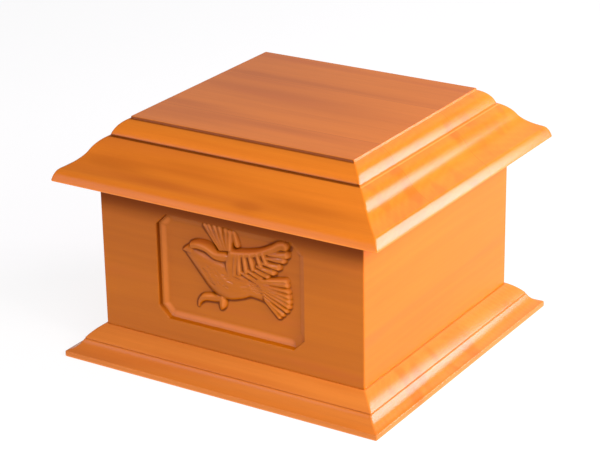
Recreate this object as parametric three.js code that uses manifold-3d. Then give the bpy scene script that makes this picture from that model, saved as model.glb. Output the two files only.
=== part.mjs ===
// A wooden urn box: four mitred walls on a moulded base slab, under a thick moulded lid that lifts
// off. The front wall has a sunk eight-sided field with a flying dove carved in it.
// Millimetres, +Z up. The origin is the middle of the underside, the front faces -Y.

import * as THREE from "three";
import { mergeVertices } from "three/addons/utils/BufferGeometryUtils.js";
import Module from "manifold-3d";

const wasm = await Module();
wasm.setup();

// Driving sizes of the box
const BODY_WIDTH = 204.3;
const BODY_DEPTH = 197;
const BODY_HEIGHT = 107.3;
const WALL = 12;
const ASSEMBLY_GAP = 0.3;

// Lid: how far its lip stands out from the walls, and how the walls enter its underside
const LID_OVERHANG = 22.85;
const SEAT_DEPTH = 4;
const SEAT_CLEARANCE = 0.4;

// Lid edge, member by member from the underside up: run is how far it steps in, rise how far up
const LID_ARRIS = { run: 0.3, rise: 0.9 };
const LID_NOSE = { run: 3.9, rise: 7.4, swell: 0.35 };
const LID_SWEEP = { run: 13.8, rise: 9.9, swell: -0.25 };
const LID_OVOLO = { run: 10.3, rise: 10, swell: 0.3 };
const LID_LEDGE = { run: 1.1, rise: 0 };
const LID_QUIRK = { run: 0.6, rise: 0.4 };
const TIER_OVOLO = { run: 9.4, rise: 10, swell: 0.42 };
const TIER_LEDGE = { run: 0.5, rise: 0.1 };
const TOP_STEP = { run: 0.2, rise: 1.2 };
const TOP_ARRIS = { run: 0.4, rise: 0.3, swell: 0.6 };

// Base slab: how far it stands out from the walls, and its edge from the floor up
const BASE_OVERHANG = 21.4;
const BASE_FOOT_ARRIS = { run: 0.5, rise: 0.5 };
const BASE_LIP = { run: 0, rise: 3.2 };
const BASE_LIP_ROUND = { run: 1.1, rise: 0.7, swell: 0.7 };
const BASE_COVE = { run: 8.4, rise: 7.1, swell: -0.45 };
const BASE_QUIRK = { run: 0.9, rise: 0.5 };
const BASE_OVOLO = { run: 10.4, rise: 9, swell: 0.18 };

// Sunk field in the front wall
const FIELD_WIDTH = 116.2;
const FIELD_HEIGHT = 76.8;
const FIELD_CORNER = 8.5;
const FIELD_DEPTH = 5.5;
const FIELD_DROP = 0.6;
const FIELD_ARRIS = { run: 1, rise: 0.8, swell: -0.8 };
const FIELD_WALL = { run: 0.3, rise: 2.9 };
const FIELD_COVE = { run: 5.2, swell: 0.6 };

// Dove: its length from beak to tail, and how far it stands up from the field's floor
const BIRD_LENGTH = 86.5;
const RELIEF_HEIGHT = 4.8;
const ROOT_DEPTH = 1;

// Steps along one curved member of a moulding
const CURVE_STEPS = 5;

// Heights that follow from the sizes above
const lidEdge = [LID_NOSE, LID_SWEEP, LID_OVOLO, LID_LEDGE];
const tierEdge = [TIER_OVOLO, TIER_LEDGE, TOP_STEP, TOP_ARRIS];
const baseFoot = [BASE_LIP, BASE_LIP_ROUND, BASE_COVE];
const baseHeight = sum(baseFoot, "rise") + BASE_FOOT_ARRIS.rise + 2 * BASE_QUIRK.rise + BASE_OVOLO.rise;
const lidUnderside = baseHeight + BODY_HEIGHT;
const wallBottom = baseHeight + ASSEMBLY_GAP;
const wallTop = lidUnderside + SEAT_DEPTH - ASSEMBLY_GAP;
const frontY = -BODY_DEPTH / 2;
const fieldCentreZ = baseHeight + BODY_HEIGHT / 2 - FIELD_DROP;

function sum(members, key) {
  return members.reduce((total, member) => total + member[key], 0);
}

// Adds one member to an edge profile of [inset, height] points. swell bends it: above 0 it bulges
// up and out like an ovolo, below 0 it hollows like a cove, and 0 or none is straight. Where the
// heights count down into the wood, as round the sunk field, the two change places.
function addMember(profile, { run, rise, swell = 0 }) {
  const [inset, height] = profile[profile.length - 1];
  const start = new THREE.Vector2(inset, height);
  const end = new THREE.Vector2(inset + run, height + rise);
  if (swell === 0) {
    profile.push(end.toArray());
    return profile;
  }
  const pull = new THREE.Vector2(inset + run * (0.5 - swell / 2), height + rise * (0.5 + swell / 2));
  const curve = new THREE.QuadraticBezierCurve(start, pull, end);
  curve.getPoints(CURVE_STEPS).slice(1).forEach((point) => profile.push(point.toArray()));
  return profile;
}

// A quirk is a small V-shaped groove between two members
function addQuirk(profile, { run, rise }) {
  addMember(profile, { run, rise });
  return addMember(profile, { run: -run / 2, rise });
}

// Closed solid through a row of rings with the same number of corners, each ring anticlockwise
// about the way the row runs, closed at both ends by a fan about the end ring's middle.
function loft(rings) {
  const sides = rings[0].length;
  const vertices = rings.flat();
  const index = [];
  for (let i = 0; i + 1 < rings.length; i += 1) {
    for (let j = 0; j < sides; j += 1) {
      const a = i * sides + j;
      const b = i * sides + ((j + 1) % sides);
      index.push(a, b, b + sides, a, b + sides, a + sides);
    }
  }
  const lastRing = (rings.length - 1) * sides;
  const first = vertices.push(middle(rings[0])) - 1;
  const last = vertices.push(middle(rings[rings.length - 1])) - 1;
  for (let j = 0; j < sides; j += 1) {
    const next = (j + 1) % sides;
    index.push(first, next, j);
    index.push(last, lastRing + j, lastRing + next);
  }
  const geometry = new THREE.BufferGeometry();
  geometry.setAttribute("position", new THREE.Float32BufferAttribute(vertices.flat(), 3));
  geometry.setIndex(index);
  return geometry;
}

function middle(ring) {
  return [0, 1, 2].map((axis) => ring.reduce((total, point) => total + point[axis], 0) / ring.length);
}

// Slab with the same moulding worked along all four edges
function mouldedSlab(width, depth, profile) {
  return loft(profile.map(([inset, height]) => rectangle(width - 2 * inset, depth - 2 * inset, height)));
}

function rectangle(width, depth, height) {
  const corners = [[-1, -1], [1, -1], [1, 1], [-1, 1]];
  return corners.map(([x, y]) => [(x * width) / 2, (y * depth) / 2, height]);
}

function block(width, depth, bottom, top) {
  return loft([rectangle(width, depth, bottom), rectangle(width, depth, top)]);
}

function toManifold(geometry) {
  const merged = geometry.clone();
  merged.deleteAttribute("normal");
  merged.deleteAttribute("uv");
  const joined = mergeVertices(merged, 1e-5);
  return new wasm.Manifold(new wasm.Mesh({
    numProp: 3,
    vertProperties: new Float32Array(joined.attributes.position.array),
    triVerts: new Uint32Array(joined.index.array),
  }));
}

function toGeometry(manifold) {
  const mesh = manifold.getMesh();
  const geometry = new THREE.BufferGeometry();
  geometry.setAttribute("position", new THREE.BufferAttribute(new Float32Array(mesh.vertProperties), 3));
  geometry.setIndex(new THREE.BufferAttribute(new Uint32Array(mesh.triVerts), 1));
  return geometry;
}

// Base slab, flat on top where the walls stand
function baseGeometry() {
  const profile = [[BASE_FOOT_ARRIS.run, 0]];
  addMember(profile, { run: -BASE_FOOT_ARRIS.run, rise: BASE_FOOT_ARRIS.rise });
  baseFoot.forEach((member) => addMember(profile, member));
  addQuirk(profile, BASE_QUIRK);
  addMember(profile, BASE_OVOLO);
  return mouldedSlab(BODY_WIDTH + 2 * BASE_OVERHANG, BODY_DEPTH + 2 * BASE_OVERHANG, profile);
}

// Lid slab: the lower tier's nose, slope, cove and ovolo, then the upper tier. A groove in its
// underside takes the top edges of the four walls.
function lidGeometry() {
  const profile = [[LID_ARRIS.run, lidUnderside]];
  addMember(profile, { run: -LID_ARRIS.run, rise: LID_ARRIS.rise, swell: -0.4 });
  lidEdge.forEach((member) => addMember(profile, member));
  addMember(profile, { run: LID_QUIRK.run, rise: LID_QUIRK.rise });
  addMember(profile, { run: -LID_QUIRK.run, rise: LID_QUIRK.rise });
  tierEdge.forEach((member) => addMember(profile, member));
  const slab = mouldedSlab(BODY_WIDTH + 2 * LID_OVERHANG, BODY_DEPTH + 2 * LID_OVERHANG, profile);
  const reach = 2 * SEAT_CLEARANCE;
  const grooveTop = lidUnderside + SEAT_DEPTH;
  const grooveBottom = lidUnderside - SEAT_DEPTH;
  const outer = block(BODY_WIDTH + reach, BODY_DEPTH + reach, grooveBottom, grooveTop);
  const tongueWidth = BODY_WIDTH - 2 * WALL - reach;
  const tongueDepth = BODY_DEPTH - 2 * WALL - reach;
  const tongue = block(tongueWidth, tongueDepth, grooveBottom - SEAT_DEPTH, grooveTop + SEAT_DEPTH);
  const groove = toManifold(outer).subtract(toManifold(tongue));
  return toGeometry(toManifold(slab).subtract(groove));
}

// Wall board with mitred ends, drawn along the front of the box: span is its outer length and out
// the distance of its outer face from the box's middle
function wallGeometry(span, out) {
  const mitreGap = (ASSEMBLY_GAP / 2) * Math.SQRT2;
  const outerHalf = span / 2 - mitreGap;
  const innerHalf = outerHalf - WALL;
  const plan = [[-outerHalf, -out], [outerHalf, -out], [innerHalf, WALL - out], [-innerHalf, WALL - out]];
  return loft([wallBottom, wallTop].map((height) => plan.map(([x, y]) => [x, y, height])));
}

// Ring of the sunk field's eight corners, set in from its edge and down from the wall's face
function fieldRing(inset, depth) {
  const halfWidth = FIELD_WIDTH / 2 - inset;
  const halfHeight = FIELD_HEIGHT / 2 - inset;
  const corner = FIELD_CORNER - inset * (2 - Math.SQRT2);
  const quarter = [[halfWidth, halfHeight - corner], [halfWidth - corner, halfHeight]];
  const outline = [
    ...quarter,
    ...quarter.map(([x, z]) => [-x, z]).reverse(),
    ...quarter.map(([x, z]) => [-x, -z]),
    ...quarter.map(([x, z]) => [x, -z]).reverse(),
  ];
  return outline.map(([x, z]) => [x, frontY + depth, fieldCentreZ + z]);
}

// The waste cut out for the sunk field: a rounded arris, a steep wall, then a cove down to the floor
function fieldWaste() {
  const profile = [[0, 0]];
  addMember(profile, FIELD_ARRIS);
  addMember(profile, FIELD_WALL);
  addMember(profile, { ...FIELD_COVE, rise: FIELD_DEPTH - FIELD_ARRIS.rise - FIELD_WALL.rise });
  const rings = [fieldRing(0, -FIELD_DEPTH), ...profile.map(([inset, depth]) => fieldRing(inset, depth))];
  return loft(rings.map((ring) => ring.reverse()));
}

// Dove in low relief. It is laid up from strokes. A stroke is a rounded ridge along a smooth line,
// given by stations [across, up, half width, height]: the first three in hundredths of the bird's
// length from the field's middle, the height as a share of RELIEF_HEIGHT. edge is the share of the
// height left at the ridge's sides, and lean tips it like a lapped feather.
const birdUnit = BIRD_LENGTH / 100;
const SECTION = [1, 0.8, 0.4, 0, -0.4, -0.8, -1];
const CAP_ANGLES = [80, 45].map(THREE.MathUtils.degToRad);
const SAMPLES_PER_SPAN = 2;

const BODY = {
  edge: 0.2,
  stations: [
    [-37, 15.4, 4.8, 0.62], [-29, 11.5, 8, 0.85], [-18, 5.2, 12.2, 1], [-7, -1.2, 15.2, 1],
    [4, -3.4, 11.4, 0.86], [15, -3, 7.8, 0.72], [26, -3.2, 8.2, 0.58], [33, -3.4, 9.6, 0.5],
  ],
};
const MANTLE = {
  edge: 0.3,
  stations: [[-34.6, 21.4, 3.2, 0.85], [-29, 22.8, 3.8, 1], [-21, 22, 4.2, 1.06], [-13, 18, 4.6, 1.06], [-4, 18, 4.8, 0.95]],
};
const BEAK = {
  edge: 0.3,
  stations: [[-44.4, 15.8, 0.6, 0.4], [-41, 16.7, 2.3, 0.6], [-36.5, 17.6, 4.2, 0.75]],
};
const SHOULDER = {
  edge: 0.7,
  stations: [[2.4, 22, 3.4, 0.98], [0, 14, 3.8, 1.04], [0.6, 6, 4, 0.95]],
};
const WING_ARM = {
  edge: 0.8,
  stations: [
    [1, 22.8, 3.2, 0.94], [9, 24.6, 3.2, 0.96], [18, 26.6, 3.2, 0.96], [28, 29.2, 3.1, 0.94],
    [38, 33, 3, 0.9], [46.5, 37.3, 3.2, 0.86], [51.6, 37.8, 3.8, 0.8],
  ],
};
const WING_PAD = {
  edge: 0.9,
  stations: [[3, 13, 9, 0.72], [16, 16.6, 8, 0.7], [30, 23, 6.4, 0.64], [42, 30.4, 4.4, 0.58]],
};
const TAIL_PAD = { edge: 0.9, stations: [[28, -2.4, 6.6, 0.46], [36, -3.6, 8.6, 0.42], [41, -4.4, 10, 0.4]] };
const HIND_BLADE = { edge: 0.6, stations: [[5, 29.5, 2.6, 0.42], [2.4, 38.4, 2, 0.32]] };
const FRONT_TOE = {
  edge: 0.3,
  stations: [[-9, -17.4, 3.8, 0.7], [-18, -18.6, 3.5, 0.62], [-25.8, -20.2, 3, 0.56], [-30.4, -24.2, 2, 0.44], [-32.2, -29, 0.7, 0.28]],
};
const HIND_TOE = {
  edge: 0.3,
  stations: [[-8.8, -17, 3.4, 0.74], [-9.4, -22.6, 3, 0.66], [-10.8, -26.6, 1.2, 0.4]],
};

// Rows of feathers. roots and tips are the lines that the feathers start and end on.
const FLIGHT_FEATHERS = {
  count: 9,
  roots: [[-1, 4.4], [15, 11.5], [28, 18.5], [38, 30.4]],
  tips: [[12, 3], [28, 8.6], [42.4, 19], [54.2, 33.4]],
  rootWidth: 2.4,
  tipWidth: 2.9,
  rootHeight: 0.84,
  tipHeight: 0.66,
  lean: -0.16,
};
const COVERTS = {
  count: 6,
  roots: [[5.4, 22], [15, 24], [29.5, 28]],
  tips: [[3.4, 6], [17, 12.4], [32, 21.4]],
  rootWidth: 2.9,
  tipWidth: 3.1,
  rootHeight: 0.98,
  tipHeight: 0.92,
  lean: 0.12,
};
const TAIL_FEATHERS = {
  count: 8,
  roots: [[20, 3.8], [27, -1], [30, -10]],
  tips: [[48.6, 9], [50, -1.6], [50.8, -10], [41.8, -21]],
  rootWidth: 1.6,
  tipWidth: 3,
  rootHeight: 0.62,
  tipHeight: 0.56,
  lean: 0.16,
};
const FAR_WING_FEATHERS = {
  count: 6,
  roots: [[-9.6, 23.6], [-5, 24.4], [-0.4, 25]],
  tips: [[-23, 39.6], [-12, 40], [-1, 36]],
  rootWidth: 2.4,
  tipWidth: 3,
  rootHeight: 0.74,
  tipHeight: 0.46,
  lean: -0.16,
};

function lineThrough(points) {
  return new THREE.SplineCurve(points.map(([x, y]) => new THREE.Vector2(x, y)));
}

// The strokes of a row of feathers, spread evenly from the first end of its two lines to the other
function featherRow(row) {
  const roots = lineThrough(row.roots);
  const tips = lineThrough(row.tips);
  return Array.from({ length: row.count }, (_, i) => {
    const share = i / (row.count - 1);
    const root = roots.getPoint(share);
    const tip = tips.getPoint(share);
    return {
      edge: 0.72,
      lean: row.lean,
      stations: [[root.x, root.y, row.rootWidth, row.rootHeight], [tip.x, tip.y, row.tipWidth, row.tipHeight]],
    };
  });
}

// Solid of one stroke, rooted a little below the field's floor
function strokeGeometry({ stations, edge, lean = 0 }) {
  const line = lineThrough(stations);
  const across = lineThrough(stations.map((station) => [station[2], station[3]]));
  const spans = (stations.length - 1) * SAMPLES_PER_SPAN;
  const rings = [];
  const addRing = (share, beyond, narrow) => {
    const point = line.getPoint(share);
    const along = line.getTangent(share);
    const [halfWidth, height] = across.getPoint(share).toArray();
    const centre = point.addScaledVector(along, beyond * halfWidth);
    rings.push(strokeRing(centre, along, halfWidth * narrow, height * narrow ** 0.5, edge, lean));
  };
  CAP_ANGLES.forEach((angle) => addRing(0, -Math.sin(angle), Math.cos(angle)));
  for (let i = 0; i <= spans; i += 1) {
    addRing(i / spans, 0, 1);
  }
  [...CAP_ANGLES].reverse().forEach((angle) => addRing(1, Math.sin(angle), Math.cos(angle)));
  return loft(rings);
}

// Cross-section of a stroke: flat below, crowned on top
function strokeRing(centre, along, halfWidth, height, edge, lean) {
  const place = (side, lift) => [
    (centre.x - along.y * side * halfWidth) * birdUnit,
    frontY + FIELD_DEPTH - lift,
    fieldCentreZ + (centre.y + along.x * side * halfWidth) * birdUnit,
  ];
  const top = SECTION.map((side) => {
    const crown = edge + (1 - edge) * (1 - Math.abs(side) ** 2.4) ** 0.6;
    return place(side, RELIEF_HEIGHT * height * (crown + lean * side));
  });
  return [place(-1, -ROOT_DEPTH), place(1, -ROOT_DEPTH), ...top];
}

// Front wall: the sunk field is cut first, then the dove is laid on its floor
function frontGeometry() {
  const strokes = [
    BODY, MANTLE, BEAK, WING_PAD, SHOULDER, WING_ARM, TAIL_PAD, HIND_BLADE, FRONT_TOE, HIND_TOE,
    ...[FLIGHT_FEATHERS, COVERTS, TAIL_FEATHERS, FAR_WING_FEATHERS].flatMap(featherRow),
  ];
  const sunk = toManifold(wallGeometry(BODY_WIDTH, BODY_DEPTH / 2)).subtract(toManifold(fieldWaste()));
  return toGeometry(strokes.reduce((wall, stroke) => wall.add(toManifold(strokeGeometry(stroke))), sunk));
}

const varnish = { roughness: 0.3, metalness: 0 };
const lidWood = { color: 0xd8792f, ...varnish };
const wallWood = { color: 0xc87330, ...varnish };
const baseWood = { color: 0xd07a30, ...varnish };

function addMesh(parent, name, geometry, finish, turn = 0) {
  const mesh = new THREE.Mesh(geometry, new THREE.MeshStandardMaterial(finish));
  mesh.name = name;
  mesh.rotation.z = turn;
  parent.add(mesh);
}

const urn = new THREE.Group();
addMesh(urn, "base", baseGeometry(), baseWood);
addMesh(urn, "front_panel", frontGeometry(), wallWood);
addMesh(urn, "right_panel", wallGeometry(BODY_DEPTH, BODY_WIDTH / 2), wallWood, Math.PI / 2);
addMesh(urn, "back_panel", wallGeometry(BODY_WIDTH, BODY_DEPTH / 2), wallWood, Math.PI);
addMesh(urn, "left_panel", wallGeometry(BODY_DEPTH, BODY_WIDTH / 2), wallWood, -Math.PI / 2);
addMesh(urn, "lid", lidGeometry(), lidWood);

export default urn;
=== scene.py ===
"""Looks of a wooden urn box: a moulded lid that lifts off, four mitred walls and a moulded base.

A dove in low relief is carved in the sunk eight-sided field of the front wall. Everything is honey
stained wood under clear varnish. Blender's units are metres, +Z is up and the front faces -Y. Sizes
in the classes are millimetres, and MM turns them into metres.
"""

import logging
import math
from collections.abc import Callable
from dataclasses import dataclass, field
from enum import Enum

import bpy
import numpy as np
from mathutils import Matrix, Vector


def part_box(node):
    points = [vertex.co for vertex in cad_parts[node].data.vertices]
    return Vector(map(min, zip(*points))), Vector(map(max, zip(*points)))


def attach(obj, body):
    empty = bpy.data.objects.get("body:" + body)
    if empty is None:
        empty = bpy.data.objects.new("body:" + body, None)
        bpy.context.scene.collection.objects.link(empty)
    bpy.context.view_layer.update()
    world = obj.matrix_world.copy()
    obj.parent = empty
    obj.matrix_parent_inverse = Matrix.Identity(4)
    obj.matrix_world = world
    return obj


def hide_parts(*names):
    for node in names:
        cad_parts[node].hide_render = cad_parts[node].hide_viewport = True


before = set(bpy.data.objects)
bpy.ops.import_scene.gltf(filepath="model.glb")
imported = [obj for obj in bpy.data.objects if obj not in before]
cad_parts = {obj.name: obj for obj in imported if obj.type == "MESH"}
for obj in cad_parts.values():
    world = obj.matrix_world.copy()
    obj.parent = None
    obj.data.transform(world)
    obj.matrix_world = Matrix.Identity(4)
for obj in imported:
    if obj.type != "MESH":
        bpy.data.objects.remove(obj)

LOG = logging.getLogger("urn_box")
MM = 0.001
STAIN_AND_SHADING = "stain_and_shading"
SHARP_ANGLE = math.radians(42)
TINY = 1e-6
WHITE = (1.0, 1.0, 1.0, 1.0)
Pair = tuple[float, float]
Triple = tuple[float, float, float]


# Shader expressions


def operator(operation: str, reflected: bool = False) -> Callable[["Wire", "Wire | float"], "Wire"]:
    """A method of Wire that adds one Math node, with the other value first where it is reflected."""

    def method(self: "Wire", other: "Wire | float") -> "Wire":
        """The Math node's result."""
        return self.shader.maths(operation, *((other, self) if reflected else (self, other)))

    return method


class Wire:
    """An output socket of a shader node. Sums and products of wires add the Math nodes they need."""

    def __init__(self, shader: "Shader", socket: bpy.types.NodeSocket) -> None:
        """Keeps the socket and the shader that it belongs to."""
        self.shader = shader
        self.socket = socket

    __add__, __radd__ = operator("ADD"), operator("ADD", True)
    __sub__, __rsub__ = operator("SUBTRACT"), operator("SUBTRACT", True)
    __mul__, __rmul__ = operator("MULTIPLY"), operator("MULTIPLY", True)
    __truediv__, __pow__, __gt__ = operator("DIVIDE"), operator("POWER"), operator("GREATER_THAN")


class Shader:
    """One material's nodes, made by expressions."""

    MIX_SHARE, MIX_FIRST, MIX_SECOND, MIX_RESULT = 0, 6, 7, 2

    def __init__(self, name: str) -> None:
        """Starts an empty material of that name."""
        self.material = bpy.data.materials.new(name)
        self.material.use_nodes = True
        self.material.node_tree.nodes.clear()

    def node(self, kind: str, settings: dict, inputs: dict, output: int | str = 0) -> Wire | None:
        """Adds a node.

        Args:
            kind: the node's type.
            settings: its settings by name, which are set first.
            inputs: wires or plain values by the name or number of their socket.
            output: the socket that is handed back.

        Returns:
            That output as a wire, or None from a node with no output.
        """
        made = self.material.node_tree.nodes.new(kind)
        for name, value in settings.items():
            setattr(made, name, value)
        for key, value in inputs.items():
            if isinstance(value, Wire):
                self.material.node_tree.links.new(value.socket, made.inputs[key])
            else:
                made.inputs[key].default_value = value
        return Wire(self, made.outputs[output]) if made.outputs else None

    def maths(self, operation: str, first: Wire | float, second: Wire | float = 0.0) -> Wire:
        """Adds a Math node for two values and returns its result."""
        return self.node("ShaderNodeMath", {"operation": operation}, {0: first, 1: second})

    def vector(self, operation: str, first: Wire, second: Wire | tuple) -> Wire:
        """Adds a Vector Math node for two vectors and returns its result."""
        return self.node("ShaderNodeVectorMath", {"operation": operation}, {0: first, 1: second})

    def mix(self, share: Wire | float, first: Wire | tuple, second: Wire | tuple) -> Wire:
        """Mixes two colours: share 0 gives the first and share 1 the second."""
        inputs = {self.MIX_SHARE: share, self.MIX_FIRST: opaque(first), self.MIX_SECOND: opaque(second)}
        return self.node("ShaderNodeMix", {"data_type": "RGBA"}, inputs, self.MIX_RESULT)

    def smooth(self, value: Wire, low: float, high: float) -> Wire:
        """Rises smoothly from 0 at low to 1 at high."""
        inputs = {"Value": value, "From Min": low, "From Max": high}
        return self.node("ShaderNodeMapRange", {"interpolation_type": "SMOOTHSTEP"}, inputs)

    def noise(self, place: Wire, stretch: tuple, detail: float = 2.0, rough: float = 0.5) -> Wire:
        """Noise from 0 to 1 about a half, stretched by the cells it has to a metre each way."""
        spot = self.vector("MULTIPLY", place, stretch)
        inputs = {"Vector": spot, "Scale": 1.0, "Detail": detail, "Roughness": rough}
        return self.node("ShaderNodeTexNoise", {"noise_dimensions": "3D"}, inputs, "Fac")

    def axes(self, place: Wire) -> tuple[Wire, Wire, Wire]:
        """Splits a vector into its three numbers."""
        split = self.node("ShaderNodeSeparateXYZ", {}, {0: place})
        return tuple(Wire(self, out) for out in split.socket.node.outputs)

    def finished(self, inputs: dict) -> bpy.types.Material:
        """Closes the material with a Principled surface of those inputs."""
        surface = self.node("ShaderNodeBsdfPrincipled", {}, inputs)
        self.node("ShaderNodeOutputMaterial", {}, {"Surface": surface})
        return self.material


def opaque(colour: Wire | tuple) -> Wire | tuple:
    """A colour's three numbers with a full alpha, or the wire as it is."""
    return colour if isinstance(colour, Wire) else (*colour, 1.0)


# Finishes


@dataclass(frozen=True)
class Pattern:
    """A noise in the wood: its cells to a metre along and across the grain, its detail and roughness."""

    along: float
    across: float
    detail: float = 2.0
    rough: float = 0.5


class Grain(Enum):
    """The way that the wood's fibres run."""

    ALONG_X = "x"
    ALONG_Y = "y"

    def stretch(self, pattern: Pattern) -> Triple:
        """The pattern's cells to a metre on X, Y and Z."""
        along, across = pattern.along, pattern.across
        return (along, across, across) if self is Grain.ALONG_X else (across, along, across)


@dataclass(frozen=True)
class Streak:
    """A darker streak of heartwood or a small knot: middle, half length, half width, in mm, and strength."""

    along: float
    across: float
    half_length: float
    half_width: float
    strength: float


@dataclass(frozen=True)
class WoodFinish:
    """Stained wood under clear varnish. Sizes are millimetres and colours are linear.

    cloud, ring, line and fibre say how much each pattern counts in the wood's tone, and the lid's
    painted shadow how far the head of a wall is darkened under the lid's overhang.
    """

    name: str
    grain: Grain
    pale: Triple
    deep: Triple
    # Dark colour of stains, glue lines and painted shade.
    glaze_and_shade: Triple = (0.17, 0.034, 0.002)
    blush: Triple = (0.56, 0.12, 0.012)
    pith: Pair = (14.0, -95.0)
    ring_pitch: float = 3.4
    cloud: float = 0.5
    ring: float = 0.06
    line: float = 0.26
    fibre: float = 0.16
    painted_eave_shade: float = 0.0
    joints: tuple[float, ...] = ()
    streaks: tuple[Streak, ...] = ()
    roughness: float = 0.42
    coat_index: float = 1.3
    coat_roughness: float = 0.2

    CLOUDS = Pattern(5, 26)
    LINES = Pattern(9, 330, 3.0, 0.6)
    FIBRES = Pattern(70, 2100)
    BLUSHES = Pattern(4, 60, 1.0)
    WAVES = Pattern(9, 30, 1.0)
    RING_BENDS = Pattern(3.5, 18)
    RING_BEND = 14.0
    RING_POWER = 1.6
    BOARD_SHIFT = (0.73, 0.41, 0.29)
    BOARD_STEP = 0.03
    TONES = (0.1, 0.9)
    BLUSH_RANGE = (0.56, 0.74)
    BLUSH_SHARE = 0.45
    STAIN_AND_SHADE_RANGE = (0.05, 0.85)
    STAIN_AND_SHADE_SHARE = 0.85
    STAIN_AND_SHADE_DULLS = 0.5
    EAVE_SHADE_HEIGHTS = (101.0, 118.0)
    EAVE_SHADE_DULLS = 0.75
    WEAR_AND_HIGHLIGHT_RANGE = (0.1, 1.2)
    WEAR_AND_HIGHLIGHT_SHARE = 0.7
    WEAR_AND_HIGHLIGHT_GAIN = 1.3
    WEAR_AND_HIGHLIGHT_LIFT = 0.03
    GLUE_RANGE = (0.05, 0.3)
    GLUE_SHARE = 0.45
    LINE_ROUGHENS = 0.12
    FIBRE_ROUGHENS = 0.1
    RELIEF = (1.1, 0.12, 0.05)
    BUMP_STRENGTH = 0.35
    BUMP_DEPTH = 0.4

    def material(self) -> bpy.types.Material:
        """Builds the finish.

        The wood's tone is a weighted sum of stretched noises: broad clouds, growth rings, grain
        lines and fibres, with a step from board to board. It mixes the deep and the pale colour.
        Stain and wear come on top, with painted shade and highlights, and varnish lies over all.

        Returns:
            The material.
        """
        shader = Shader(self.name)
        place = shader.node("ShaderNodeTexCoord", {}, {}, "Object")
        x, y, z = shader.axes(place)
        along, across = (x, y) if self.grain is Grain.ALONG_X else (y, x)
        board = glue = None
        if self.joints:
            board, glue = self._boards(shader, across)
            inputs = {0: self.BOARD_SHIFT, "Scale": board}
            shift = shader.node("ShaderNodeVectorMath", {"operation": "SCALE"}, inputs)
            place = shader.vector("ADD", place, shift)

        patterns = (self.CLOUDS, self.LINES, self.FIBRES, self.BLUSHES, self.WAVES)
        cloud, line, fibre, blush, wave = (self._noise(shader, place, pattern) for pattern in patterns)
        ring = self._rings(shader, place, across, z)
        tone = 0.5 + (cloud - 0.5) * self.cloud + (line - 0.5) * self.line
        tone = tone + (fibre - 0.5) * self.fibre + (ring - 0.5) * self.ring
        if board is not None:
            tone = tone + board * self.BOARD_STEP
        for streak in self.streaks:
            tone = tone - self._streak(shader, streak, along, across)
        colour = shader.mix(shader.smooth(tone, *self.TONES), self.deep, self.pale)
        blush = shader.smooth(blush, *self.BLUSH_RANGE) * self.BLUSH_SHARE
        colour, gloss = self._stained_and_shaded(shader, shader.mix(blush, colour, self.blush), z)
        if glue is not None:
            colour = shader.mix(glue * self.GLUE_SHARE, colour, self.glaze_and_shade)

        rough = self.roughness + (line - 0.5) * self.LINE_ROUGHENS + (fibre - 0.5) * self.FIBRE_ROUGHENS
        relief = wave * self.RELIEF[0] + line * self.RELIEF[1] + fibre * self.RELIEF[2]
        bump = {"Strength": self.BUMP_STRENGTH, "Distance": self.BUMP_DEPTH * MM, "Height": relief}
        varnish = {
            "Base Color": colour,
            "Roughness": rough,
            "Normal": shader.node("ShaderNodeBump", {}, bump),
            "Coat Weight": gloss,
            "Coat Roughness": self.coat_roughness,
            "Coat IOR": self.coat_index,
            "Specular IOR Level": 0.0,
        }
        return shader.finished(varnish)

    def _noise(self, shader: Shader, place: Wire, pattern: Pattern) -> Wire:
        """The pattern's noise, laid along the grain."""
        return shader.noise(place, self.grain.stretch(pattern), pattern.detail, pattern.rough)

    def _stained_and_shaded(self, shader: Shader, colour: Wire, up: Wire) -> tuple[Wire, Wire]:
        """Darkens stains, painted shade and the lid's painted shadow; pales wear and painted highlights.

        Args:
            shader: the material's nodes.
            colour: the bare wood's colour.
            up: height of each point, in metres.

        Returns:
            The colour, and the gloss that the stains and painted shade leave.
        """
        stain_and_shading = shader.node("ShaderNodeAttribute", {"attribute_name": STAIN_AND_SHADING}, {}, "Fac")
        # Stains and painted shade darken where the mark is above 0, and dull the varnish.
        stain_and_shade_share = shader.smooth(stain_and_shading, *self.STAIN_AND_SHADE_RANGE) * self.STAIN_AND_SHADE_SHARE
        colour = shader.mix(stain_and_shade_share, colour, self.glaze_and_shade)
        gloss = 1.0 - stain_and_shade_share * self.STAIN_AND_SHADE_DULLS
        # Painted shadow of the lid's overhang on the head of a wall, which dulls the varnish too.
        if self.painted_eave_shade:
            low, high = (height * MM for height in self.EAVE_SHADE_HEIGHTS)
            shade = shader.smooth(up, low, high) * self.painted_eave_shade
            colour = shader.mix(shade, colour, self.glaze_and_shade)
            gloss = gloss * (1.0 - shade * self.EAVE_SHADE_DULLS)
        # Below 0 the mark pales the wood, as wear and painted highlight.
        wear_and_highlight = shader.smooth(0.0 - stain_and_shading, *self.WEAR_AND_HIGHLIGHT_RANGE) * self.WEAR_AND_HIGHLIGHT_SHARE
        wear_and_highlight_colour = tuple(min(1.0, part * self.WEAR_AND_HIGHLIGHT_GAIN + self.WEAR_AND_HIGHLIGHT_LIFT) for part in self.pale)
        return shader.mix(wear_and_highlight, colour, wear_and_highlight_colour), gloss

    def _boards(self, shader: Shader, across: Wire) -> tuple[Wire, Wire]:
        """The board's number at each point, and how near it is to a glue line."""
        boards, glues = [], []
        low, high = (gap * MM for gap in self.GLUE_RANGE)
        for joint in self.joints:
            boards.append(across > joint * MM)
            gap = shader.maths("ABSOLUTE", across - joint * MM)
            glues.append(1.0 - shader.smooth(gap, low, high))
        return sum(boards[1:], boards[0]), sum(glues[1:], glues[0])

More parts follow.
